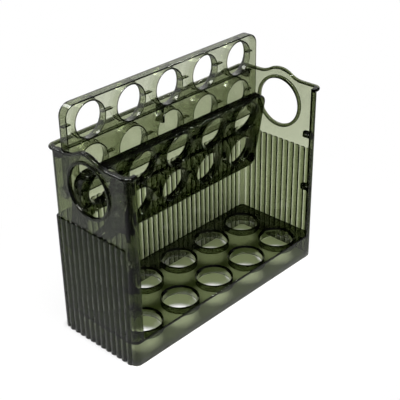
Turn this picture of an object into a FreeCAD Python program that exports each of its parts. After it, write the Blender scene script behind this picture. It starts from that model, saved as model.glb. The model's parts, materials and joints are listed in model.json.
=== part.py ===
import FreeCAD, Part
import math
import os

V = FreeCAD.Vector

# Egg rack: an open-fronted case with egg holes in its floor and two egg trays that flip up inside it.
# Millimetres. +X runs along the rack to the right, +Y to the back wall, +Z up.
# The origin is on the table, under the middle of the case.

# Egg holes: every plate has the same columns, and each hole has a collar and a widened seat
egg_columns = 5
egg_hole_r = 17.3
egg_collar_wall = 1.4
egg_column_gap = 12.6
egg_seat_widening = 1.8
egg_seat_depth = 3.2

# Walls of the case
wall = 2.2
end_margin = 11.5
case_corner_r = 6.0
return_strip = 4.4
rim_top = 198.5
crest_rise = 8.0
crest_half_width = 28.0
rim_lip = 3.0
rim_bead_r = 1.7

# Reeds moulded on the outside of the back wall and the end walls
reed_top = 126.0
reed_rise = 2.0
reed_valley = 0.25
reed_root = 1.3
end_reed_count = 12
back_reed_count = 35

# Round handle hole in each end wall
handle_r = 25.2
handle_ring_width = 2.0
handle_ring_stand = 1.6
handle_ring_round = 0.7
handle_below_crest = 37.9

# Floor of the case, level with the top of the front skirt
floor_top = 27.0
floor_thickness = 3.6
floor_collar_drop = 9.6
floor_front_gap = 2.95
floor_row_gap = 12.3

# Trays
tray_end_gap = 1.9
tray_front_gap = 1.5
tray_root_gap = 3.3
tray_row_gap = 4.6
tray_tip_gap = 0.8
tray_tail = 5.0
tray_depth = 9.7
tray_wall = 1.5
tray_plate = 1.7
tray_free_corner_r = 12.0
tray_tail_corner_r = 8.0
rib_thickness = 1.4
rib_setback = 0.7

# Hinges
hinge_depth = 2.5
hinge_to_back = 14.2
hinge_below_rim = 45.0
tier_spacing = 61.0
lean_gap = 0.5
pin_r = 4.5
pin_clearance = 0.05
socket_depth = 1.6
socket_end_gap = 0.2
boss_r = 6.2
boss_gap = 0.4

# Rests that carry the front of a lowered tray, and stops behind the raised top tray
lowered_tilt = 0.4
rest_length = 11.5
rest_width = 5.4
rest_height = 5.0
rest_nose_r = 2.0
seat_gap = 0.2
stop_below_rim = 4.5
stop_width = 6.0
stop_height = 6.5
post_width = 3.0
post_height = 17.0

# Worked out from the sizes above
collar_r = egg_hole_r + egg_collar_wall
egg_pitch = 2 * collar_r + egg_column_gap
egg_x = [(i - (egg_columns - 1) / 2) * egg_pitch for i in range(egg_columns)]
tray_first_row = tray_root_gap + collar_r
tray_row_pitch = 2 * collar_r + tray_row_gap
tray_reach = tray_first_row + tray_row_pitch + collar_r + tray_tip_gap + tray_wall
inner_half_length = egg_x[-1] + collar_r + end_margin
half_length = inner_half_length + wall
tray_half_length = inner_half_length - tray_end_gap
half_depth = (hinge_to_back + tray_reach + tray_front_gap) / 2
inner_half_depth = half_depth - wall
inner_corner_r = case_corner_r - wall
front_return = case_corner_r + return_strip
floor_front_row = -inner_half_depth + floor_front_gap + collar_r
floor_back_row = floor_front_row + 2 * collar_r + floor_row_gap
crest_top = rim_top + crest_rise
handle_z = crest_top - handle_below_crest
stop_top = rim_top - stop_below_rim
hinge_y = half_depth - hinge_to_back
top_hinge_z = rim_top - hinge_below_rim
middle_hinge_z = top_hinge_z - tier_spacing
overrun = wall

# The raised middle tray leans forward until it clears the top tray's tail by the lean gap
tail_forward = tray_depth - hinge_depth
tail_above = tier_spacing - tray_tail
tail_distance = math.hypot(tail_forward, tail_above)
middle_lean = math.degrees(
    math.atan2(tail_forward, tail_above) + math.asin((hinge_depth + lean_gap) / tail_distance)
)


def extrude(edges, direction):
    return Part.Face(Part.Wire(edges)).extrude(direction)


def line(a, b):
    return Part.LineSegment(a, b).toShape()


def arc(a, middle, b):
    return Part.Arc(a, middle, b).toShape()


def block(low, high):
    return Part.makeBox(high.x - low.x, high.y - low.y, high.z - low.z, low)


def polygon(points):
    return [line(a, b) for a, b in zip(points, points[1:] + points[:1])]


def mirror_left(shape):
    return shape.mirror(V(0, 0, 0), V(1, 0, 0))


def plan_corner(centre, radius, start, sweep):
    """Points of a quarter turn in plan: its start, its middle and its end."""
    angles = [math.radians(start + sweep * share) for share in (0, 0.5, 1)]
    return [centre + V(radius * math.cos(a), radius * math.sin(a), 0) for a in angles]


def crest_curve(x, drop):
    """Edges of the end wall's top line, back to front, let down by drop."""
    level = rim_top - drop
    turn = crest_half_width / 2
    radius = (turn ** 2 + (crest_rise / 2) ** 2) / crest_rise
    half_angle = math.asin(turn / radius) / 2
    across = radius * math.sin(half_angle)
    up = radius * (1 - math.cos(half_angle))
    foot = V(x, crest_half_width, level)
    flank = V(x, turn, level + crest_rise / 2)
    crest = V(x, 0, level + crest_rise)
    mirrored = [V(p.x, -p.y, p.z) for p in (flank, foot)]
    bend = V(x, crest_half_width - across, level + up)
    return [
        arc(foot, bend, flank),
        arc(flank, crest, mirrored[0]),
        arc(mirrored[0], V(x, -bend.y, bend.z), mirrored[1]),
    ]


def reed(chord):
    """One reed standing out of the plane y = 0, with a domed top."""
    radius = (chord ** 2 / 4 + reed_rise ** 2) / (2 * reed_rise)
    axis_y = reed_rise - radius
    dome_z = reed_top - chord / 2
    stem = Part.makeCylinder(radius, dome_z, V(0, axis_y, 0))
    dome = Part.makeSphere(radius, V(0, axis_y, dome_z))
    outside = block(V(-chord / 2, -reed_root, 0), V(chord / 2, reed_rise + overrun, reed_top))
    return stem.fuse(dome).common(outside)


def turned(shape, angle, place):
    copy = shape.copy()
    copy.rotate(V(0, 0, 0), V(0, 0, 1), angle)
    copy.translate(place)
    return copy


def bead(path, start, direction):
    section = Part.Wire(Part.Circle(start, direction, rim_bead_r).toShape())
    return Part.Wire(path).makePipeShell([section], True, True)


def right_end_wall():
    cx = half_length - case_corner_r
    cy = half_depth - case_corner_r
    return_x = half_length - front_return
    back = V(cx, cy, 0)
    front = V(cx, -cy, 0)
    outer_back = plan_corner(back, case_corner_r, 90, -90)
    outer_front = plan_corner(front, case_corner_r, 0, -90)
    inner_front = plan_corner(front, inner_corner_r, -90, 90)
    inner_back = plan_corner(back, inner_corner_r, 0, 90)
    plan = [
        arc(*outer_back),
        line(outer_back[2], outer_front[0]),
        arc(*outer_front),
        line(outer_front[2], V(return_x, -half_depth, 0)),
        line(V(return_x, -half_depth, 0), V(return_x, -inner_half_depth, 0)),
        line(V(return_x, -inner_half_depth, 0), inner_front[0]),
        arc(*inner_front),
        line(inner_front[2], inner_back[0]),
        arc(*inner_back),
        line(inner_back[2], outer_back[0]),
    ]
    upright = extrude(plan, V(0, 0, crest_top))

    side = half_depth + overrun
    top = crest_curve(0, 0)
    profile = [line(V(0, side, rim_top), V(0, crest_half_width, rim_top))]
    profile += top
    profile += [
        line(V(0, -crest_half_width, rim_top), V(0, -side, rim_top)),
        line(V(0, -side, rim_top), V(0, -side, 0)),
        line(V(0, -side, 0), V(0, side, 0)),
        line(V(0, side, 0), V(0, side, rim_top)),
    ]
    shell = upright.common(extrude(profile, V(half_length + overrun, 0, 0)))

    flat = 2 * cy
    pitch = flat / end_reed_count
    unit = reed(pitch - reed_valley)
    reeds = [
        turned(unit, -90, V(half_length, -cy + (i + 0.5) * pitch, 0))
        for i in range(end_reed_count)
    ]
    diagonal = case_corner_r * math.sqrt(0.5)
    reeds.append(turned(unit, -45, back + V(diagonal, diagonal, 0)))
    shell = shell.multiFuse(reeds)

    stand_out = rim_lip - rim_bead_r
    bead_z = rim_top - rim_bead_r
    bead_x = half_length + stand_out
    lift = V(0, 0, bead_z)
    start = V(cx, half_depth + stand_out, bead_z)
    rim_back = [p + lift for p in plan_corner(back, case_corner_r + stand_out, 90, -90)]
    rim_front = [p + lift for p in plan_corner(front, case_corner_r + stand_out, 0, -90)]
    path = [arc(*rim_back), line(rim_back[2], V(bead_x, crest_half_width, bead_z))]
    path += crest_curve(bead_x, rim_bead_r)
    path += [
        line(V(bead_x, -crest_half_width, bead_z), rim_front[0]),
        arc(*rim_front),
        line(rim_front[2], V(return_x, -half_depth - stand_out, bead_z)),
    ]
    shell = shell.fuse(bead(path, start, V(1, 0, 0)))

    ring_r = handle_r + handle_ring_width
    ring_base = V(inner_half_length, 0, handle_z)
    ring = Part.makeCylinder(ring_r, wall + handle_ring_stand, ring_base, V(1, 0, 0))
    rims = [e for e in ring.Edges if e.Closed and e.BoundBox.XMin > half_length]
    ring = ring.makeFillet(handle_ring_round, rims)
    shell = shell.fuse(ring)
    hole_base = V(inner_half_length - overrun, 0, handle_z)
    hole_length = wall + handle_ring_stand + 2 * overrun
    shell = shell.cut(Part.makeCylinder(handle_r, hole_length, hole_base, V(1, 0, 0)))

    for z in (middle_hinge_z, top_hinge_z):
        mouth = V(inner_half_length - overrun, hinge_y, z)
        socket = Part.makeCylinder(pin_r + pin_clearance, overrun + socket_depth, mouth, V(1, 0, 0))
        shell = shell.cut(socket)
    return shell.removeSplitter()


def back_wall():
    half = half_length - case_corner_r
    panel = block(V(-half, inner_half_depth, 0), V(half, half_depth, rim_top))
    pitch = 2 * half / back_reed_count
    unit = reed(pitch - reed_valley)
    reeds = [
        turned(unit, 0, V(-half + (i + 0.5) * pitch, half_depth, 0))
        for i in range(back_reed_count)
    ]
    stand_out = rim_lip - rim_bead_r
    start = V(-half, half_depth + stand_out, rim_top - rim_bead_r)
    rod = Part.makeCylinder(rim_bead_r, 2 * half, start, V(1, 0, 0))
    return panel.multiFuse(reeds).fuse(rod).removeSplitter()


def front_skirt():
    half = half_length - front_return
    return block(V(-half, -half_depth, 0), V(half, -inner_half_depth, floor_top))


def egg_cutter(place, axis, depth):
    """Hole for one egg, widened into a seat where the egg goes in."""
    long_hole = Part.makeCylinder(egg_hole_r, depth + 2 * overrun, place - axis * overrun, axis)
    seat = Part.makeCone(egg_hole_r + egg_seat_widening, egg_hole_r, egg_seat_depth, place, axis)
    return long_hole.fuse(seat)


def egg_collars(places, axis, start, end):
    """Rings under the egg holes, from the plate's underside to their free edge."""
    rings = []
    for place in places:
        ring = Part.makeCylinder(collar_r, end - start, place + axis * start, axis)
        rings.append(ring.cut(egg_cutter(place, axis, end)))
    return Part.makeCompound(rings)


def floor_egg_places():
    return [V(x, y, floor_top) for y in (floor_front_row, floor_back_row) for x in egg_x]


def egg_floor():
    corner = inner_corner_r
    outline = panel_outline(inner_half_length, -inner_half_depth, inner_half_depth, corner, corner)
    plate = extrude(outline, V(0, -floor_thickness, 0))
    plate.rotate(V(0, 0, 0), V(1, 0, 0), -90)
    plate.translate(V(0, 0, floor_top - floor_thickness))
    cutters = [egg_cutter(p, V(0, 0, -1), floor_collar_drop) for p in floor_egg_places()]
    return plate.cut(cutters)


def floor_collars():
    down = V(0, 0, -1)
    return egg_collars(floor_egg_places(), down, floor_thickness, floor_collar_drop)


def right_rest(hinge_z):
    """Lug that a lowered tray's side comes down on; its top follows the tray's slope."""
    low_y = -inner_half_depth
    high_y = low_y + rest_length
    slope = math.tan(math.radians(lowered_tilt))
    edge_drop = (tray_depth - hinge_depth) / math.cos(math.radians(lowered_tilt))
    top_at = [hinge_z - edge_drop + slope * (hinge_y - y) - seat_gap for y in (low_y, high_y)]
    x = inner_half_length
    side = [
        V(x, low_y, top_at[0]),
        V(x, high_y, top_at[1]),
        V(x, high_y, top_at[1] - rest_height),
        V(x, low_y, top_at[1] - rest_height),
    ]
    lug = extrude(polygon(side), V(-rest_width, 0, 0))
    nose = [
        e for e in lug.Edges
        if e.BoundBox.XMax < x - rest_width / 2 and e.BoundBox.YMin > high_y - rest_length / 2
    ]
    lug = lug.makeFillet(rest_nose_r, nose)
    return lug.common(case_room())


def case_room():
    """The room inside the case, with its rounded upright corners."""
    corner = inner_corner_r
    outline = panel_outline(inner_half_length, -inner_half_depth, inner_half_depth, corner, corner)
    room = extrude(outline, V(0, -crest_top, 0))
    room.rotate(V(0, 0, 0), V(1, 0, 0), -90)
    return room


def right_stop():
    face_y = hinge_y + hinge_depth + seat_gap
    x = inner_half_length
    low = V(x - stop_width, face_y, stop_top - stop_height)
    high = V(x, inner_half_depth, stop_top)
    return block(low, high).common(case_room())


def back_stop():
    face_y = hinge_y + hinge_depth + seat_gap
    low = V(-post_width / 2, face_y, stop_top - post_height)
    return block(low, V(post_width / 2, inner_half_depth, stop_top))


def panel_outline(half_width, low, high, low_r, high_r):
    """Rounded rectangle in the XZ plane, with its own radius at the low and the high corners."""
    edges = []
    corners = [
        (V(half_width - high_r, 0, high - high_r), high_r, 0),
        (V(-half_width + high_r, 0, high - high_r), high_r, 90),
        (V(-half_width + low_r, 0, low + low_r), low_r, 180),
        (V(half_width - low_r, 0, low + low_r), low_r, 270),
    ]
    points = []
    for centre, radius, start in corners:
        angles = [math.radians(start + share * 90) for share in (0, 0.5, 1)]
        points.append([centre + V(radius * math.cos(a), 0, radius * math.sin(a)) for a in angles])
    for this, after in zip(points, points[1:] + points[:1]):
        edges.append(arc(*this))
        edges.append(line(this[2], after[0]))
    return edges


def tray_prism(inset, near_depth, far_depth):
    """The tray's outline drawn in by inset, between two depths measured from its egg side."""
    outline = panel_outline(
        tray_half_length - inset,
        -tray_tail + inset,
        tray_reach - inset,
        tray_tail_corner_r - inset,
        tray_free_corner_r - inset,
    )
    prism = extrude(outline, V(0, near_depth - far_depth, 0))
    prism.translate(V(0, hinge_depth - near_depth, 0))
    return prism


def tray_egg_places():
    rows = [tray_first_row, tray_first_row + tray_row_pitch]
    return [V(x, hinge_depth, z) for z in rows for x in egg_x]


def tray_parts():
    """One tray standing upright, its hinge line on the X axis and its underside to the front."""
    frame = tray_prism(0, 0, tray_depth).cut(tray_prism(tray_wall, 0, tray_depth))
    toward_front = V(0, -1, 0)
    places = tray_egg_places()
    cutters = [egg_cutter(p, toward_front, tray_depth) for p in places]
    plate = tray_prism(tray_wall, 0, tray_plate).cut(cutters)
    collars = egg_collars(places, toward_front, tray_plate, tray_depth)
    blanks = [Part.makeCylinder(collar_r, tray_depth, p, toward_front) for p in places]

    near_y = hinge_depth - tray_plate
    far_y = hinge_depth - tray_depth + rib_setback
    thin = rib_thickness / 2
    long_x = tray_half_length
    rows = [tray_first_row, tray_first_row + tray_row_pitch / 2, tray_first_row + tray_row_pitch]
    bars = [block(V(-long_x, far_y, z - thin), V(long_x, near_y, z + thin)) for z in rows]
    bars += [block(V(x - thin, far_y, -tray_tail), V(x + thin, near_y, tray_reach)) for x in egg_x]
    field = tray_prism(tray_wall, tray_plate, tray_depth - rib_setback)
    ribs = bars[0].multiFuse(bars[1:]).common(field).cut(blanks).removeSplitter()

    boss_length = tray_end_gap - boss_gap
    journal_length = tray_end_gap + socket_depth - socket_end_gap
    root_x = tray_half_length - tray_wall
    boss = Part.makeCylinder(boss_r, tray_wall + boss_length, V(root_x, 0, 0), V(1, 0, 0))
    journal = Part.makeCylinder(pin_r, tray_wall + journal_length, V(root_x, 0, 0), V(1, 0, 0))
    inside = tray_prism(0, -boss_r, tray_depth + boss_r)
    right_pin = boss.fuse(journal).cut(inside).removeSplitter()
    return {
        "plate": plate,
        "collars": collars,
        "frame": frame,
        "ribs": ribs,
        "right_pin": right_pin,
        "left_pin": mirror_left(right_pin),
    }


def placed_tray(name, lean, hinge_z):
    nodes = {}
    for part, shape in tray_parts().items():
        shape.rotate(V(0, 0, 0), V(1, 0, 0), lean)
        shape.translate(V(0, hinge_y, hinge_z))
        nodes[name + "_" + part] = shape
    return nodes


def all_nodes():
    right = right_end_wall()
    upper_rest = right_rest(top_hinge_z)
    lower_rest = right_rest(middle_hinge_z)
    stop = right_stop()
    nodes = {
        "back_wall": back_wall(),
        "right_end_wall": right,
        "left_end_wall": mirror_left(right),
        "front_skirt": front_skirt(),
        "egg_floor": egg_floor(),
        "floor_collars": floor_collars(),
        "right_upper_rest": upper_rest,
        "left_upper_rest": mirror_left(upper_rest),
        "right_lower_rest": lower_rest,
        "left_lower_rest": mirror_left(lower_rest),
        "right_stop": stop,
        "left_stop": mirror_left(stop),
        "back_stop": back_stop(),
    }
    nodes.update(placed_tray("top_tray", 0, top_hinge_z))
    nodes.update(placed_tray("middle_tray", middle_lean, middle_hinge_z))
    return nodes


os.makedirs("parts", exist_ok=True)
for node, shape in all_nodes().items():
    shape.exportStep("parts/" + node + ".step")
    box = shape.BoundBox
    print(node, len(shape.Solids), shape.isValid(), round(shape.Volume), [round(v, 1) for v in (
        box.XMin, box.XMax, box.YMin, box.YMax, box.ZMin, box.ZMax)])
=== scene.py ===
import json
import math

import bmesh
import bpy
from mathutils import Matrix, Vector


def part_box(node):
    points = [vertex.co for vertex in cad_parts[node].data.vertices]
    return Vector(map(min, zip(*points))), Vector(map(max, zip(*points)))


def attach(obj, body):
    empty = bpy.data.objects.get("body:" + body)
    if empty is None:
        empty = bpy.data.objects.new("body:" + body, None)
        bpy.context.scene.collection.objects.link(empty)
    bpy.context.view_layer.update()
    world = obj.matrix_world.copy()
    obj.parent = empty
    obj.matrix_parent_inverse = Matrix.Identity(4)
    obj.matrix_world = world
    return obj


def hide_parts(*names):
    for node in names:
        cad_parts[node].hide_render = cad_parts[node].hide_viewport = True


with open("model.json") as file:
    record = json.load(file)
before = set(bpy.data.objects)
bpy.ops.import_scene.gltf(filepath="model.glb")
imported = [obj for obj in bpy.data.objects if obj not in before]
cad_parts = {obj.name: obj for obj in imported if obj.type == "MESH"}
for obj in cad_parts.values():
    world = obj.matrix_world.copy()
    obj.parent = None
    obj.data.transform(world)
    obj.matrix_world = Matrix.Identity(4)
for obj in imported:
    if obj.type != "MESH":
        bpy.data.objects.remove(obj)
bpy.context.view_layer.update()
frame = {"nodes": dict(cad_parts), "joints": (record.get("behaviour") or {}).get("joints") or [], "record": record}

# The rack stands on z = 0 with its open front towards -Y. All sizes are in metres.
MM = 0.001

# Places read from the frame
floor_low, floor_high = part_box("egg_floor")
collar_low, collar_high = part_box("floor_collars")
skirt_low, skirt_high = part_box("front_skirt")
back_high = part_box("back_wall")[1]
end_low, end_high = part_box("right_end_wall")
tray_low, tray_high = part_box("top_tray_frame")
tray_plate_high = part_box("top_tray_plate")[1]
tray_collar_low, tray_collar_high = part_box("top_tray_collars")
pin_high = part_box("top_tray_right_pin")[1]
hinge_at = {joint["child"]: Vector(joint["pos_m"]) for joint in frame["joints"]}

# Case walls
WALL = skirt_high.y - skirt_low.y
HALF_LENGTH = floor_high.x + WALL
HALF_DEPTH = -skirt_low.y
RETURN_X = end_low.x
CORNER_R = 6.0 * MM
CORNER_STEPS = 14
RIM_TOP = back_high.z
RIM_ZONE = RIM_TOP - 2 * WALL
CREST_RISE = end_high.z - RIM_TOP
CREST_HALF_WIDTH = 28.0 * MM
CREST_STEPS = 44
RIM_LIP = end_high.x - HALF_LENGTH
RIM_BEAD_R = 1.7 * MM
RIM_BEAD_STEPS = 14
EDGE_R = 0.5 * MM

# Drawn thicknesses: the tint gathers with depth, so these set how dark each wall looks
SHELL = 1.35 * MM
LEFT_SHELL = 1.9 * MM
FRONT_POST = 2.4 * MM
BACK_SHELL = 1.1 * MM
BACK_UPPER = 1.8 * MM
BACK_SLOPE = 6.0 * MM
FLOOR_PLATE = 3.2 * MM

# Reeds on the outside of the walls
REED_TOP = 126.0 * MM
REED_RISE = 2.0 * MM
REED_VALLEY = 0.25 * MM
REED_ROOT = 0.9 * MM
REED_TOP_BREAK = 0.3 * EDGE_R
REED_STEPS = 12
END_REEDS = 12
BACK_REEDS = 35

# Handle holes
HANDLE_R = 25.2 * MM
HANDLE_RING = 3.3 * MM
HANDLE_STAND = 2.0 * MM
HANDLE_ROUND = 1.5 * MM
HANDLE_Z = 168.6 * MM

# Egg holes
COLUMNS = 5
ROWS = 2
COLUMN_PITCH = 50.0 * MM
COLLAR_WALL = 1.4 * MM
FLOOR_COLLAR_WALL = 2.2 * MM
COLLAR_R = collar_high.x - COLUMN_PITCH * (COLUMNS - 1) / 2
COLLAR_EDGE_R = 0.45 * MM
HOLE_R = COLLAR_R - COLLAR_WALL
SEAT_WIDENING = 1.8 * MM
SEAT_DEPTH = 3.2 * MM
BORE_MARGIN = 0.2 * MM
BORE_R = HOLE_R + SEAT_WIDENING + BORE_MARGIN
ROUND_STEPS = 72

# Trays
TRAY_HALF_LENGTH = tray_high.x
TRAY_WALL = tray_high.x - tray_plate_high.x
TRAY_DEPTH = tray_high.y - tray_low.y
TRAY_PLATE = 0.95 * MM
TRAY_REACH = tray_high.z - hinge_at["top_tray"].z
TRAY_TAIL = hinge_at["top_tray"].z - tray_low.z
TRAY_FREE_R = 12.0 * MM
TRAY_TAIL_R = 8.0 * MM
TRAY_FIRST_ROW = tray_collar_low.z + COLLAR_R - hinge_at["top_tray"].z
TRAY_ROW_PITCH = tray_collar_high.z - tray_collar_low.z - 2 * COLLAR_R
HINGE_DEPTH = tray_high.y - hinge_at["top_tray"].y
FLANGE_EDGE_R = 0.55 * MM
RIB_THICKNESS = 1.4 * MM
RIB_SETBACK = 4.5 * MM
PIN_R = 4.5 * MM
PIN_GAP = 0.05 * MM
BOSS_R = 6.2 * MM
BOSS_GAP = 0.4 * MM
LEAN = math.radians(10.372)

# Mesh work
ARC_STEPS = 4
PANEL_ARC_STEPS = 10
OVERLAP = 1.5 * MM
WELD = 0.002 * MM
NODE_WELD = 0.001 * MM
SHARP_ANGLE = math.radians(32)
FLATS_WEIGHT = 100

# Smoke-green plastic
WHITE = (1.0, 1.0, 1.0, 1.0)
DEPTH_TINT = (0.26, 0.32, 0.06, 1.0)
FLOW_DARK = (0.97, 0.98, 0.93, 1.0)
FLOW_LIGHT = (1.0, 1.0, 0.98, 1.0)
SHADOW_TINT = (0.97, 0.97, 0.96, 1.0)
FLOW_SCALE = 14.0
FLOW_DETAIL = 1.0
GRAIN_SCALE = 900.0
GRAIN_DETAIL = 2.0
FLOW_SHARE = 0.9
GRAIN_SHARE = 0.1
RELIEF_STRENGTH = 0.02
RELIEF_DEPTH = 0.01 * MM
FLOW_ROUGHNESS = 0.02

# Pale floor, and the painted reflection it shows to mirrored rays: a graded grey glow, strongest on the left
FLOOR_REACH = 4.0
FLOOR_DROP = 0.2 * MM
FLOOR_PAPER = (0.9, 0.9, 0.9, 1.0)
EDGE_FADE = 6.0 * MM
WHITE_START = 0.92
WHITE_RISE = 0.4
LEFT_GLOW = 0.72
LEFT_GLOW_FRONT = 300.0 * MM
LEFT_GLOW_SIDE = 800.0 * MM
NEAR_GLOW = 0.5
NEAR_GLOW_REACH = 40.0 * MM
FAR_GLOW = 0.2
FAR_GLOW_FADE = 90.0 * MM
FAR_GLOW_END = 260.0 * MM
LEAST_GLOW = 0.05

# White surroundings, with a painted reflection: a pale band low at the back that only mirrored rays see
FILL_STRENGTH = 0.07
BAND_STRENGTH = 0.6
BAND_RISE = 3.0
BAND_START = 0.6
BAND_FALL = 5.0
BAND_END = 4.0
CLEAR_BOUNCES = 40
GLOSS_BOUNCES = 8

# Soft boxes: place, width and watts
SOFT_BOXES = {
    "overhead": (Vector((-0.18, -0.37, 1.35)), 0.65, 30.0),
    "back_light": (Vector((-0.15, 0.9, 1.2)), 0.45, 3.5),
    "edge_light": (Vector((0.8, 0.1, 1.05)), 0.15, 2.0),
}

# Camera
CAMERA_PLACE = Vector((-0.592016, -0.569263, 0.566174))
CAMERA_AZIMUTH = math.radians(-46.551)
CAMERA_ELEVATION = math.radians(29.342)
CAMERA_ROLL = math.radians(-0.883)
CAMERA_LENS = 85.244
CAMERA_SENSOR = 36.0


class Graph:
    """A node tree that is filled by calls: one method adds any node, its settings and inputs."""

    def __init__(self, tree):
        self.tree = tree

    def add(self, kind, settings=None, inputs=None, out=0):
        node = self.tree.nodes.new(kind)
        for name, value in (settings or {}).items():
            setattr(node, name, value)
        for key, value in (inputs or {}).items():
            for one in value if isinstance(value, list) else [value]:
                self.feed(node.inputs[key], one)
        return Value(self, node.outputs[out]) if node.outputs else node

    def feed(self, socket, value):
        if isinstance(value, Value):
            self.tree.links.new(value.socket, socket)
        else:
            socket.default_value = value


class Value:
    """A socket that can be used in sums; each operator adds a Math node."""

    def __init__(self, graph, socket):
        self.graph = graph
        self.socket = socket

    def math(self, operation, first, second):
        return self.graph.add("ShaderNodeMath", {"operation": operation}, {0: first, 1: second})

    def __add__(self, other):
        return self.math("ADD", self, other)

    def __radd__(self, other):
        return self.math("ADD", other, self)

    def __sub__(self, other):
        return self.math("SUBTRACT", self, other)

    def __rsub__(self, other):
        return self.math("SUBTRACT", other, self)

    def __mul__(self, other):
        return self.math("MULTIPLY", self, other)

    def __rmul__(self, other):
        return self.math("MULTIPLY", other, self)

    def above(self, limit):
        """How far this value, without its sign, is over a limit, or zero."""
        unsigned = self.graph.add("ShaderNodeMath", {"operation": "ABSOLUTE"}, {0: self})
        return self.math("MAXIMUM", unsigned - limit, 0.0)

    def clamped(self):
        """This value kept between 0 and 1."""
        return self.graph.add("ShaderNodeClamp", None, {"Value": self})

    def output(self, name):
        """Another output of the node that gives this value."""
        return Value(self.graph, self.socket.node.outputs[name])


def empty_graph(owner):
    """The node tree of a material or a world, cleared."""
    owner.use_nodes = True
    owner.node_tree.nodes.clear()
    return Graph(owner.node_tree)


def smoke_plastic(name, density, bending, gloss):
    """Clear smoke-green plastic: polished, tinted all through, so edges and overlaps go dark."""
    material = bpy.data.materials.new(name)
    graph = empty_graph(material)
    place = graph.add("ShaderNodeTexCoord").output("Object")
    flow = graph.add(
        "ShaderNodeTexNoise", None, {"Vector": place, "Scale": FLOW_SCALE, "Detail": FLOW_DETAIL}
    )
    grain = graph.add(
        "ShaderNodeTexNoise", None, {"Vector": place, "Scale": GRAIN_SCALE, "Detail": GRAIN_DETAIL}
    )
    tint = graph.add(
        "ShaderNodeMix",
        {"data_type": "RGBA"},
        {"Factor": flow, "A": FLOW_DARK, "B": FLOW_LIGHT},
        out=2,
    )
    height = flow * FLOW_SHARE + grain * GRAIN_SHARE
    relief = graph.add(
        "ShaderNodeBump",
        None,
        {"Strength": RELIEF_STRENGTH, "Distance": RELIEF_DEPTH, "Height": height},
    )
    body = graph.add(
        "ShaderNodeBsdfPrincipled",
        None,
        {
            "Base Color": tint,
            "Roughness": flow * FLOW_ROUGHNESS,
            "IOR": bending,
            "Coat Weight": gloss,
            "Transmission Weight": 1.0,
            "Normal": relief,
        },
    )
    clear = graph.add("ShaderNodeBsdfTransparent", None, {"Color": SHADOW_TINT})
    shadow_ray = graph.add("ShaderNodeLightPath").output("Is Shadow Ray")
    surface = graph.add("ShaderNodeMixShader", None, {0: shadow_ray, 1: body, 2: clear})
    depth = graph.add(
        "ShaderNodeVolumeAbsorption", None, {"Color": DEPTH_TINT, "Density": density}
    )
    graph.add("ShaderNodeOutputMaterial", None, {"Surface": surface, "Volume": depth})
    return material


def new_object(name, mesh):
    piece = bpy.data.objects.new(name, mesh)
    bpy.context.scene.collection.objects.link(piece)
    return piece


def drop(*pieces):
    for piece in pieces:
        bpy.data.objects.remove(piece)


def skin(name, stations, closed=False):
    """Joins a row of equal closed outlines into one solid; an open row gets flat ends."""
    count = len(stations[0])
    mesh = bmesh.new()
    rings = [[mesh.verts.new(point) for point in station] for station in stations]
    pairs = list(zip(rings, rings[1:] + rings[:1]))
    for here, there in pairs if closed else pairs[:-1]:
        for i in range(count):
            j = (i + 1) % count
            mesh.faces.new((here[i], here[j], there[j], there[i]))
    if not closed:
        mesh.faces.new(rings[0])
        mesh.faces.new(rings[-1])
    bmesh.ops.recalc_face_normals(mesh, faces=mesh.faces)
    data = bpy.data.meshes.new(name)
    mesh.to_mesh(data)
    mesh.free()
    return new_object(name, data)


def rounded(corners, steps=ARC_STEPS):
    """Closed outline through (a, b, radius) corners, each turned by an arc of that radius."""
    outline = []
    for i, (a, b, radius) in enumerate(corners):
        corner = Vector((a, b))
        if radius == 0:
            outline.append(corner)
            continue
        before = (Vector(corners[i - 1][:2]) - corner).normalized()
        after = (Vector(corners[(i + 1) % len(corners)][:2]) - corner).normalized()
        half = before.angle(after) / 2
        centre = corner + (before + after).normalized() * radius / math.sin(half)
        start = corner + before * radius / math.tan(half) - centre
        turn = start.angle_signed(corner + after * radius / math.tan(half) - centre)
        for k in range(steps + 1):
            outline.append(centre + Matrix.Rotation(-turn * k / steps, 2) @ start)
    return outline


def panel_outline(half_width, low, high, low_r, high_r):
    """Rounded panel in plan."""
    return rounded([
        (half_width, low, low_r),
        (half_width, high, high_r),
        (-half_width, high, high_r),
        (-half_width, low, low_r),
    ], PANEL_ARC_STEPS)


def plate(name, outline, thickness):
    """A flat plate of the given plan, with its top at z = 0."""
    return skin(name, [[Vector((p.x, p.y, z)) for p in outline] for z in (0.0, -thickness)])


def lathe(name, outline, steps, turn=Matrix()):
    """Turns a closed (radius, height) outline round Z, then places it by turn."""
    stations = []
    for k in range(steps):
        angle = math.tau * k / steps
        ring = [Vector((p.x * math.cos(angle), p.x * math.sin(angle), p.y)) for p in outline]
        stations.append([turn @ point for point in ring])
    return skin(name, stations, closed=True)


def drum(name, radius, low, high, steps, turn=Matrix()):
    """A round bar along Z from low to high, then placed by turn."""
    angles = [math.tau * k / steps for k in range(steps)]
    circle = [Vector((math.cos(angle), math.sin(angle), 0)) * radius for angle in angles]
    ends = [[turn @ (point + Vector((0, 0, z))) for point in circle] for z in (low, high)]
    return skin(name, ends)


def beam(name, section, start, end):
    """A straight bar along X with a (y, z) section."""
    return skin(name, [[Vector((x, p.x, p.y)) for p in section] for x in (start, end)])


def endways(side, y, z):
    """Turns Z to point out of the left (-1) or right (1) end wall, at depth y and height z."""
    return Matrix.Translation((0, y, z)) @ Matrix.Rotation(side * math.pi / 2, 4, "Y")


def joined(base, others, operation):
    """Adds the other solids to base, or cuts them from it, and deletes them."""
    for other in others:
        modifier = base.modifiers.new(operation.lower(), "BOOLEAN")
        modifier.operation = operation
        modifier.solver = "MANIFOLD"
        modifier.object = other
    settle(base)
    drop(*others)
    return base


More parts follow.
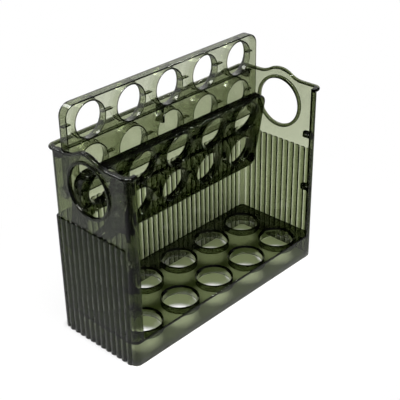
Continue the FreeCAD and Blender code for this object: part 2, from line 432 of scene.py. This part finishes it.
def settle(piece):
    """Turns a piece's modifiers into plain mesh."""
    graph = bpy.context.evaluated_depsgraph_get()
    mesh = bpy.data.meshes.new_from_object(piece.evaluated_get(graph))
    piece.modifiers.clear()
    piece.data = mesh


def finish_mesh(piece, material):
    """Cleans a fused solid and gives it crisp flats, smooth rounds and its material."""
    mesh = bmesh.new()
    mesh.from_mesh(piece.data)
    bmesh.ops.remove_doubles(mesh, verts=mesh.verts, dist=WELD)
    bmesh.ops.dissolve_degenerate(mesh, edges=mesh.edges, dist=WELD)
    mesh.to_mesh(piece.data)
    mesh.free()
    piece.data.shade_smooth()
    piece.data.set_sharp_from_angle(angle=SHARP_ANGLE)
    weighted = piece.modifiers.new("flats", "WEIGHTED_NORMAL")
    weighted.mode = "FACE_AREA"
    weighted.weight = FLATS_WEIGHT
    weighted.keep_sharp = True
    settle(piece)
    piece.data.materials.clear()
    piece.data.materials.append(material)


def crest(y):
    """Height of the rim's rise over the handle hole at depth y: two pairs of arcs."""
    turn = CREST_HALF_WIDTH / 2
    radius = (turn ** 2 + (CREST_RISE / 2) ** 2) / CREST_RISE
    away = abs(y)
    if away >= CREST_HALF_WIDTH:
        return 0.0
    if away > turn:
        return radius - math.sqrt(radius ** 2 - (CREST_HALF_WIDTH - away) ** 2)
    return CREST_RISE - radius + math.sqrt(radius ** 2 - away ** 2)


def wall_plan():
    """Points and normals of the smooth outer face in plan, from front edge to front edge."""
    cx = HALF_LENGTH - CORNER_R
    cy = HALF_DEPTH - CORNER_R
    right = []
    for centre, first in ((Vector((cx, cy)), 90), (Vector((cx, -cy)), 0)):
        for k in range(CORNER_STEPS + 1):
            angle = math.radians(first - 90 * k / CORNER_STEPS)
            normal = Vector((math.cos(angle), math.sin(angle)))
            right.append((centre + normal * CORNER_R, normal))
        if first == 90:
            for k in range(CREST_STEPS + 1):
                y = CREST_HALF_WIDTH * (1 - 2 * k / CREST_STEPS)
                right.append((Vector((HALF_LENGTH, y)), Vector((1, 0))))
    right.append((Vector((RETURN_X, -HALF_DEPTH)), Vector((0, -1))))
    left = [(Vector((-p.x, p.y)), Vector((-n.x, n.y))) for p, n in reversed(right)]
    return left + right


def wall_section():
    """The wall as (outward, height) points from inside to outside, with the rim bead on top."""
    corners = [(-SHELL, 0, EDGE_R), (-SHELL, RIM_TOP, EDGE_R), (SHELL, RIM_TOP, 0), (SHELL, 0, 0)]
    arc_points = ARC_STEPS + 1
    outline = rounded(corners)
    slope = [Vector((-SHELL, REED_TOP + z)) for z in (-BACK_SLOPE, BACK_SLOPE)]
    inside = outline[:arc_points] + slope + outline[arc_points:2 * arc_points]
    bead = Vector((RIM_LIP - RIM_BEAD_R, RIM_TOP - RIM_BEAD_R))
    foot = math.acos(-bead.x / RIM_BEAD_R)
    outside = []
    for k in range(RIM_BEAD_STEPS + 1):
        angle = math.pi / 2 - (math.pi / 2 + foot) * k / RIM_BEAD_STEPS
        outside.append(bead + Vector((math.cos(angle), math.sin(angle))) * RIM_BEAD_R)
    return inside + outside + [Vector((0, EDGE_R)), Vector((-EDGE_R, 0))]


def wall_thickness(normal, height):
    """Drawn thickness of the wall that faces along normal, at a height."""
    front = min(1.0, max(0.0, -normal.y) * 2)
    left = max(0.0, -normal.x)
    back = max(0.0, normal.y)
    back_shell = BACK_UPPER if height > REED_TOP else BACK_SHELL
    thick = SHELL + (FRONT_POST - SHELL) * front + (LEFT_SHELL - SHELL) * left
    return thick + (back_shell - SHELL) * back


def case_walls():
    """The back and end walls in one run, with the rim lifted over the handle holes."""
    section = wall_section()
    stations = []
    for point, normal in wall_plan():
        lift = crest(point.y) if abs(normal.x) == 1 else 0.0
        station = []
        for p in section:
            z = p.y + (lift if p.y > RIM_ZONE else 0.0)
            out = p.x * (wall_thickness(normal, p.y) / SHELL if p.x < 0 else 1)
            station.append(Vector((point.x + normal.x * out, point.y + normal.y * out, z)))
        stations.append(station)
    return skin("case", stations)


def reed(chord):
    """One reed on the plane y = 0, cut off flat at its top, with a root that goes into the wall."""
    radius = (chord ** 2 / 4 + REED_RISE ** 2) / (2 * REED_RISE)
    spread = math.asin(chord / 2 / radius)
    levels = (
        (0.0, 0.0),
        (REED_TOP - EDGE_R, 0.0),
        (REED_TOP - REED_TOP_BREAK, REED_TOP_BREAK),
        (REED_TOP, EDGE_R),
    )
    stations = []
    for z, inset in levels:
        outline = []
        for i in range(REED_STEPS + 1):
            angle = spread * (1 - 2 * i / REED_STEPS)
            x = (radius - inset) * math.sin(angle)
            y = (radius - inset) * math.cos(angle) - radius + REED_RISE
            outline.append(Vector((x, y, z)))
        root = outline[0].x
        outline += [Vector((-root, -REED_ROOT, z)), Vector((root, -REED_ROOT, z))]
        stations.append(outline)
    return skin("reed", stations)


def tree_with_inputs(name, inputs):
    """An empty Geometry Nodes tree with named inputs, and those inputs as values."""
    tree = bpy.data.node_groups.new(name, "GeometryNodeTree")
    tree.interface.new_socket("Geometry", in_out="OUTPUT", socket_type="NodeSocketGeometry")
    for label, kind in inputs.items():
        tree.interface.new_socket(label, in_out="INPUT", socket_type="NodeSocket" + kind)
    graph = Graph(tree)
    first = graph.add("NodeGroupInput")
    return graph, {label: first.output(label) for label in inputs}


def along(graph, axis, distance):
    """A vector along one axis."""
    return graph.add("ShaderNodeCombineXYZ", None, {axis: distance})


def line_of_points(graph, axis, count, start, pitch):
    """A row of points along one axis."""
    return graph.add(
        "GeometryNodeMeshLine",
        None,
        {
            "Count": count,
            "Start Location": along(graph, axis, start),
            "Offset": along(graph, axis, pitch),
        },
    )


def copies(graph, points, shape):
    """The shape of an object set on every point, as real mesh."""
    source = graph.add("GeometryNodeObjectInfo", None, {"Object": shape}).output("Geometry")
    spread = graph.add("GeometryNodeInstanceOnPoints", None, {"Points": points, "Instance": source})
    return graph.add("GeometryNodeRealizeInstances", None, {"Geometry": spread})


def fused(graph, operation, first, others):
    settings = {"operation": operation, "solver": "MANIFOLD"}
    inputs = {1: [first] + others} if operation == "UNION" else {0: first, 1: others}
    return graph.add("GeometryNodeMeshBoolean", settings, inputs)


def close_tree(graph, geometry, material):
    real = graph.add("GeometryNodeRealizeInstances", None, {"Geometry": geometry})
    dressed = graph.add("GeometryNodeSetMaterial", None, {"Geometry": real, "Material": material})
    graph.add("NodeGroupOutput", None, {"Geometry": dressed})
    return graph.tree


def reed_row_tree():
    """A straight row of reeds along X, centred on the origin."""
    inputs = {"Count": "Int", "Pitch": "Float", "Reed": "Object", "Material": "Material"}
    graph, given = tree_with_inputs("reed_row", inputs)
    start = (given["Count"] - 1) * given["Pitch"] * -0.5
    row = line_of_points(graph, "X", given["Count"], start, given["Pitch"])
    return close_tree(graph, copies(graph, row, given["Reed"]), given["Material"])


def egg_panel_tree(ribbed):
    """Bores a panel with rows and columns of egg holes with collars; a tray also gets ribs."""
    inputs = {
        "Panel": "Geometry",
        "Columns": "Int",
        "Rows": "Int",
        "Column Pitch": "Float",
        "Row Pitch": "Float",
        "First Row": "Float",
        "Collar": "Object",
        "Hole": "Object",
        "Material": "Material",
    }
    if ribbed:
        inputs.update({"Long Rib": "Object", "Short Rib": "Object"})
    graph, given = tree_with_inputs("egg_tray" if ribbed else "egg_floor", inputs)
    columns, column_pitch = given["Columns"], given["Column Pitch"]
    rows, row_pitch, first_row = given["Rows"], given["Row Pitch"], given["First Row"]
    width = (columns - 1) * column_pitch
    height = (rows - 1) * row_pitch
    grid = graph.add(
        "GeometryNodeMeshGrid",
        None,
        {"Size X": width, "Size Y": height, "Vertices X": columns, "Vertices Y": rows},
    )
    middle = along(graph, "Y", first_row + height * 0.5)
    places = graph.add("GeometryNodeTransform", None, {"Geometry": grid, "Translation": middle})
    panel = given["Panel"]
    if ribbed:
        row_line = line_of_points(graph, "Y", rows * 2 - 1, first_row, row_pitch * 0.5)
        column_line = line_of_points(graph, "X", columns, width * -0.5, column_pitch)
        ribs = [
            copies(graph, row_line, given["Long Rib"]),
            copies(graph, column_line, given["Short Rib"]),
        ]
        panel = fused(graph, "UNION", panel, ribs)
    bored = fused(graph, "DIFFERENCE", panel, [copies(graph, places, given["Hole"])])
    whole = fused(graph, "UNION", bored, [copies(graph, places, given["Collar"])])
    return close_tree(graph, whole, given["Material"])


def grown(piece, tree, values):
    """Runs a tree on a piece with its named inputs set, and keeps the plain mesh."""
    modifier = piece.modifiers.new(tree.name, "NODES")
    modifier.node_group = tree
    for item in tree.interface.items_tree:
        if item.in_out == "INPUT" and item.name in values:
            modifier[item.identifier] = values[item.name]
    settle(piece)
    return piece


def reed_row(tree, count, length, turn, material):
    pitch = length / count
    pattern = reed(pitch - REED_VALLEY)
    row = new_object("reeds", bpy.data.meshes.new("reeds"))
    grown(row, tree, {"Count": count, "Pitch": pitch, "Reed": pattern, "Material": material})
    drop(pattern)
    row.data.transform(turn)
    return row


def all_reeds(material):
    """Rows of reeds on the back and both ends, and one reed on each back corner."""
    tree = reed_row_tree()
    end_run = 2 * (HALF_DEPTH - CORNER_R)
    back_run = 2 * (HALF_LENGTH - CORNER_R)
    diagonal = CORNER_R * math.sqrt(0.5)
    to_back = Matrix.Translation((0, HALF_DEPTH, 0))
    rows = [reed_row(tree, BACK_REEDS, back_run, to_back, material)]
    for side in (-1, 1):
        to_end = Matrix.Translation((side * HALF_LENGTH, 0, 0))
        turn = to_end @ Matrix.Rotation(-side * math.pi / 2, 4, "Z")
        rows.append(reed_row(tree, END_REEDS, end_run, turn, material))
        corner = Vector((HALF_LENGTH - CORNER_R + diagonal, HALF_DEPTH - CORNER_R + diagonal, 0))
        corner.x *= side
        turn = Matrix.Translation(corner) @ Matrix.Rotation(-side * math.pi / 4, 4, "Z")
        rows.append(reed_row(tree, 1, end_run / END_REEDS, turn, material))
    return rows


def handle_rings():
    """Beaded rings round the handle holes, and the drums that open the wall for them."""
    inner = HALF_LENGTH - WALL
    outer = HALF_LENGTH + HANDLE_STAND
    middle = HANDLE_R + HANDLE_RING / 2
    outline = rounded([
        (HANDLE_R, inner, EDGE_R),
        (HANDLE_R + HANDLE_RING, inner, EDGE_R),
        (HANDLE_R + HANDLE_RING, outer, HANDLE_ROUND),
        (HANDLE_R, outer, HANDLE_ROUND),
    ])
    rings = []
    drums = []
    for side in (-1, 1):
        turn = endways(side, 0, HANDLE_Z)
        rings.append(lathe("handle_ring", outline, ROUND_STEPS, turn))
        drums.append(drum("handle_drum", middle, inner - WALL, outer + WALL, ROUND_STEPS, turn))
    return rings, drums


def egg_collar(depth, wall):
    """Collar with a rounded free edge and a widened seat at the egg side, its top at z = 0."""
    outer = HOLE_R + wall
    return lathe("collar", rounded([
        (HOLE_R + SEAT_WIDENING, 0, 0),
        (outer + SEAT_WIDENING, 0, 0),
        (outer + SEAT_WIDENING, -TRAY_PLATE / 2, 0),
        (outer, -SEAT_DEPTH, 0),
        (outer, -depth, COLLAR_EDGE_R),
        (HOLE_R, -depth, COLLAR_EDGE_R),
        (HOLE_R, -SEAT_DEPTH, 0),
    ]), ROUND_STEPS)


def egg_panel(name, panel, depth, wall, row_pitch, first_row, material, ribs=None):
    """Gives a panel its egg holes, collars of the given depth and wall, and any ribs."""
    collar = egg_collar(depth, wall)
    hole = drum("hole", BORE_R, -TRAY_DEPTH * 2, TRAY_DEPTH, ROUND_STEPS)
    values = {
        "Columns": COLUMNS,
        "Rows": ROWS,
        "Column Pitch": COLUMN_PITCH,
        "Row Pitch": row_pitch,
        "First Row": first_row,
        "Collar": collar,
        "Hole": hole,
        "Material": material,
    }
    values.update(ribs or {})
    grown(panel, egg_panel_tree(bool(ribs)), values)
    panel.name = name
    drop(collar, hole, *(ribs or {}).values())


def case_floor(material):
    """The floor with its egg holes, run a little into the walls round it."""
    low = floor_low.y - OVERLAP
    high = floor_high.y + OVERLAP
    corner_r = CORNER_R - WALL
    outline = panel_outline(floor_high.x + OVERLAP, low, high, corner_r, corner_r)
    slab = plate("floor", outline, FLOOR_PLATE)
    front_row = collar_low.y + COLLAR_R
    row_pitch = collar_high.y - COLLAR_R - front_row
    drop_depth = floor_high.z - collar_low.z
    egg_panel("floor", slab, drop_depth, FLOOR_COLLAR_WALL, row_pitch, front_row, material)
    slab.data.transform(Matrix.Translation((0, 0, floor_high.z)))
    return slab


def lug(node):
    """A lug of the case, copied from its node and run a little into the wall that carries it."""
    mesh = bmesh.new()
    mesh.from_mesh(frame["nodes"][node].data)
    bmesh.ops.remove_doubles(mesh, verts=mesh.verts, dist=NODE_WELD)
    inner_x = HALF_LENGTH - WALL
    inner_y = HALF_DEPTH - WALL
    for vert in mesh.verts:
        if abs(abs(vert.co.x) - inner_x) < EDGE_R:
            vert.co.x += math.copysign(OVERLAP, vert.co.x)
        if abs(abs(vert.co.y) - inner_y) < EDGE_R:
            vert.co.y += math.copysign(OVERLAP, vert.co.y)
    data = bpy.data.meshes.new(node)
    mesh.to_mesh(data)
    mesh.free()
    return new_object(node + "_lug", data)


def front_skirt():
    section = rounded([
        (skirt_low.y, 0, EDGE_R),
        (skirt_high.y, 0, EDGE_R),
        (skirt_high.y, skirt_high.z, 0),
        (skirt_low.y, skirt_high.z, EDGE_R),
    ])
    return beam("skirt", section, -RETURN_X - OVERLAP, RETURN_X + OVERLAP)


def hinge_sockets():
    """Drums that cut blind sockets for the trays' pins into the end walls."""
    start = HALF_LENGTH - 2 * WALL
    end = pin_high.x + PIN_GAP
    sockets = []
    for hinge in hinge_at.values():
        for side in (-1, 1):
            turn = endways(side, hinge.y, hinge.z)
            sockets.append(drum("socket", PIN_R + PIN_GAP, start, end, ROUND_STEPS, turn))
    return sockets


def rack_case(material):
    """The case as one moulding: walls, reeds, handle rings, skirt, egg floor, lugs and sockets."""
    case = case_walls()
    rings, drums = handle_rings()
    joined(case, all_reeds(material), "UNION")
    joined(case, drums, "DIFFERENCE")
    lugs = [lug(node) for node in frame["nodes"] if node.endswith(("_rest", "_stop"))]
    joined(case, rings + [front_skirt(), case_floor(material)] + lugs, "UNION")
    joined(case, hinge_sockets(), "DIFFERENCE")
    finish_mesh(case, material)
    return case


def tray_flange(outline):
    """The flange that runs round a tray's outline."""
    section = rounded([
        (0, 0, FLANGE_EDGE_R),
        (TRAY_WALL, 0, 0),
        (TRAY_WALL, -TRAY_DEPTH, FLANGE_EDGE_R),
        (0, -TRAY_DEPTH, FLANGE_EDGE_R),
    ])
    count = len(outline)
    stations = []
    for i, point in enumerate(outline):
        forward = (outline[(i + 1) % count] - outline[i - 1]).normalized()
        inward = Vector((-forward.y, forward.x))
        ring = [point + inward * p.x for p in section]
        stations.append([Vector((q.x, q.y, p.y)) for q, p in zip(ring, section)])
    return skin("flange", stations, closed=True)


def tray_ribs():
    """One rib along a tray and one across it, to be copied between the collars."""
    half = RIB_THICKNESS / 2
    root = -TRAY_PLATE / 2
    foot = RIB_SETBACK - TRAY_DEPTH
    section = rounded([
        (-half, root, 0),
        (-half, foot, half / 2),
        (half, foot, half / 2),
        (half, root, 0),
    ])
    inset = TRAY_WALL / 2
    reach = TRAY_HALF_LENGTH - inset
    long_rib = beam("long_rib", section, -reach, reach)
    short_rib = beam("short_rib", section, inset - TRAY_TAIL, TRAY_REACH - inset)
    short_rib.data.transform(Matrix.Rotation(math.pi / 2, 4, "Z"))
    return {"Long Rib": long_rib, "Short Rib": short_rib}


def tray_pins():
    """Bosses and hinge pins at both ends of a tray."""
    pin_root = TRAY_HALF_LENGTH - TRAY_WALL
    boss_root = TRAY_HALF_LENGTH - TRAY_WALL / 2
    boss_end = HALF_LENGTH - WALL - BOSS_GAP
    pins = []
    for side in (-1, 1):
        turn = endways(side, 0, -HINGE_DEPTH)
        pins.append(drum("boss", BOSS_R, boss_root, boss_end, ROUND_STEPS, turn))
        pins.append(drum("pin", PIN_R, pin_root, pin_high.x, ROUND_STEPS, turn))
    return pins


def tray(name, lean, material):
    """A tray made flat, egg side up and hinge line along X, then stood up and leant."""
    inset = TRAY_WALL / 2
    outer = panel_outline(TRAY_HALF_LENGTH, -TRAY_TAIL, TRAY_REACH, TRAY_TAIL_R, TRAY_FREE_R)
    inner = panel_outline(
        TRAY_HALF_LENGTH - inset,
        inset - TRAY_TAIL,
        TRAY_REACH - inset,
        TRAY_TAIL_R - inset,
        TRAY_FREE_R - inset,
    )
    panel = plate(name, inner, TRAY_PLATE)
    joined(panel, [tray_flange(outer)], "UNION")
    egg_panel(
        name, panel, TRAY_DEPTH, COLLAR_WALL, TRAY_ROW_PITCH, TRAY_FIRST_ROW, material, tray_ribs()
    )
    joined(panel, tray_pins(), "UNION")
    # Stood up, the tray reaches upwards and its egg side faces the back wall.
    upright = Matrix(((-1, 0, 0, 0), (0, 0, 1, HINGE_DEPTH), (0, 1, 0, 0), (0, 0, 0, 1)))
    place = Matrix.Translation(hinge_at[name]) @ Matrix.Rotation(lean, 4, "X") @ upright
    panel.data.transform(place)
    finish_mesh(panel, material)
    return panel


def mirrored_rays(path):
    """1 for rays that left a polished face by reflection, from a Light Path node."""
    return path.output("Is Glossy Ray") * (1 - path.output("Is Transmission Ray"))


def pale_floor():
    """Matt paper that keeps the rack's shadow and is white to the camera clear of the rack.
    Mirrored rays see a painted reflection instead: a grey glow, strongest on the left."""
    material = bpy.data.materials.new("pale_floor")
    graph = empty_graph(material)
    paper = graph.add("ShaderNodeBsdfDiffuse", None, {"Color": FLOOR_PAPER})
    white = graph.add("ShaderNodeEmission", None, {"Color": WHITE, "Strength": 1.0})
    place = graph.add("ShaderNodeTexCoord").output("Object")
    split = graph.add("ShaderNodeSeparateXYZ", None, {0: place})
    x, y = split.output("X"), split.output("Y")
    past_ends = x.above(HALF_LENGTH)
    past_sides = y.above(HALF_DEPTH)
    past_rack = past_ends + past_sides
    clear_of_rack = (past_rack * (1 / EDGE_FADE)).clamped()

    # Painted reflection: only mirrored rays see this grey glow, brightest on the left and near the front, so the
    # plastic reflects a grey that no lamp gives
    left = ((x * -1 - HALF_LENGTH) * (1 / EDGE_FADE)).clamped()
    behind = ((y + LEFT_GLOW_FRONT) * (1 / LEFT_GLOW_FRONT)).clamped()
    beside = (1 - past_ends * (1 / LEFT_GLOW_SIDE)).clamped()
    near = (1 - past_sides * (1 / NEAR_GLOW_REACH)).clamped()
    far = ((FAR_GLOW_END - past_sides) * (1 / FAR_GLOW_FADE)).clamped()
    left_glow = left * behind * beside * LEFT_GLOW
    front_glow = (1 - left) * (near * NEAR_GLOW + far * FAR_GLOW)
    glow = left_glow + front_glow + LEAST_GLOW
    painted_reflection_colour = graph.add("ShaderNodeCombineColor", None, {"Red": glow, "Green": glow, "Blue": glow})
    painted_reflection = graph.add("ShaderNodeEmission", None, {"Color": painted_reflection_colour, "Strength": 1.0})

    path = graph.add("ShaderNodeLightPath")
    whiter = (WHITE_START + past_rack * WHITE_RISE).clamped()
    seen = path.output("Is Camera Ray") * clear_of_rack * whiter
    mirrored = mirrored_rays(path) * clear_of_rack
    table = graph.add("ShaderNodeMixShader", None, {0: seen, 1: paper, 2: white})
    surface = graph.add("ShaderNodeMixShader", None, {0: mirrored, 1: table, 2: painted_reflection})
    graph.add("ShaderNodeOutputMaterial", None, {"Surface": surface})
    return material


def floor_stage():
    """The floor under the rack."""
    corners = []
    for x, y in ((-1, -1), (1, -1), (1, 1), (-1, 1)):
        corners.append((x * FLOOR_REACH, y * FLOOR_REACH, -FLOOR_DROP))
    data = bpy.data.meshes.new("floor_stage")
    data.from_pydata(corners, [], [(0, 1, 2, 3)])
    floor = new_object("floor_stage", data)
    data.materials.append(pale_floor())


def white_surroundings():
    """White to the camera, a dim fill for other rays, and in mirrors a painted reflection: a pale band at the back
    that lights nothing.
    """
    world = bpy.data.worlds.new("studio")
    bpy.context.scene.world = world
    graph = empty_graph(world)
    fill = graph.add("ShaderNodeBackground", None, {"Color": WHITE, "Strength": FILL_STRENGTH})
    white = graph.add("ShaderNodeBackground", None, {"Color": WHITE, "Strength": 1.0})
    direction = graph.add("ShaderNodeTexCoord").output("Generated")
    split = graph.add("ShaderNodeSeparateXYZ", None, {0: direction})
    at_back = (split.output("Y") * BAND_RISE - BAND_START).clamped()
    low = (BAND_END - split.output("Z") * BAND_FALL).clamped()
    path = graph.add("ShaderNodeLightPath")
    # Painted reflection: the band shows only in mirrored rays and lays a sheen on collars and rims
    painted_band = mirrored_rays(path) * at_back * low * BAND_STRENGTH
    seen = path.output("Is Camera Ray") + painted_band
    surface = graph.add("ShaderNodeMixShader", None, {0: seen, 1: fill, 2: white})
    graph.add("ShaderNodeOutputWorld", None, {"Surface": surface})


def soft_box(name, place, size, watts):
    """A square lamp that faces the middle of the rack."""
    lamp = bpy.data.lights.new(name, "AREA")
    lamp.shape = "SQUARE"
    lamp.size = size
    lamp.energy = watts
    aim = Vector((0, 0, RIM_TOP / 2)) - place
    turn = aim.to_track_quat("-Z", "Y").to_matrix().to_4x4()
    new_object(name, lamp).matrix_world = Matrix.Translation(place) @ turn


def studio():
    """View and light settings, surroundings, floor and lamps."""
    scene = bpy.context.scene
    scene.view_settings.view_transform = "Standard"
    scene.cycles.max_bounces = CLEAR_BOUNCES
    scene.cycles.transmission_bounces = CLEAR_BOUNCES
    scene.cycles.transparent_max_bounces = CLEAR_BOUNCES
    scene.cycles.glossy_bounces = GLOSS_BOUNCES
    scene.cycles.caustics_refractive = False
    scene.cycles.caustics_reflective = False
    white_surroundings()
    floor_stage()
    for name, (place, size, watts) in SOFT_BOXES.items():
        soft_box(name, place, size, watts)


def camera():
    """Looks down on the rack's open front from the left."""
    back = Vector((
        math.sin(CAMERA_AZIMUTH) * math.cos(CAMERA_ELEVATION),
        -math.cos(CAMERA_AZIMUTH) * math.cos(CAMERA_ELEVATION),
        math.sin(CAMERA_ELEVATION),
    ))
    right = (-back).cross(Vector((0, 0, 1))).normalized()
    up = back.cross(right)
    turned_right = right * math.cos(CAMERA_ROLL) + up * math.sin(CAMERA_ROLL)
    turned_up = up * math.cos(CAMERA_ROLL) - right * math.sin(CAMERA_ROLL)
    data = bpy.data.cameras.new("camera")
    data.sensor_width = CAMERA_SENSOR
    data.lens = CAMERA_LENS
    view = new_object("camera", data)
    turn = Matrix((turned_right, turned_up, back)).transposed().to_4x4()
    view.matrix_world = Matrix.Translation(CAMERA_PLACE) @ turn
    bpy.context.scene.camera = view


case_plastic = smoke_plastic("case_plastic", density=800.0, bending=1.49, gloss=0.0)
# Painted shade: the middle tray is the same plastic as the top tray, tinted far deeper so it looks as dark as it
# does in shade
shaded_middle_plastic = smoke_plastic("middle_tray_shaded_plastic", density=1900.0, bending=1.2, gloss=1.0)
top_plastic = smoke_plastic("top_tray_plastic", density=720.0, bending=1.28, gloss=1.0)
pieces = {
    "rack": rack_case(case_plastic),
    "middle_tray": tray("middle_tray", LEAN, shaded_middle_plastic),
    "top_tray": tray("top_tray", 0.0, top_plastic),
}
bodies = frame["record"]["behaviour"]["bodies"]
for body, piece in pieces.items():
    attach(piece, body)
    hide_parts(*bodies[body])
studio()
camera()
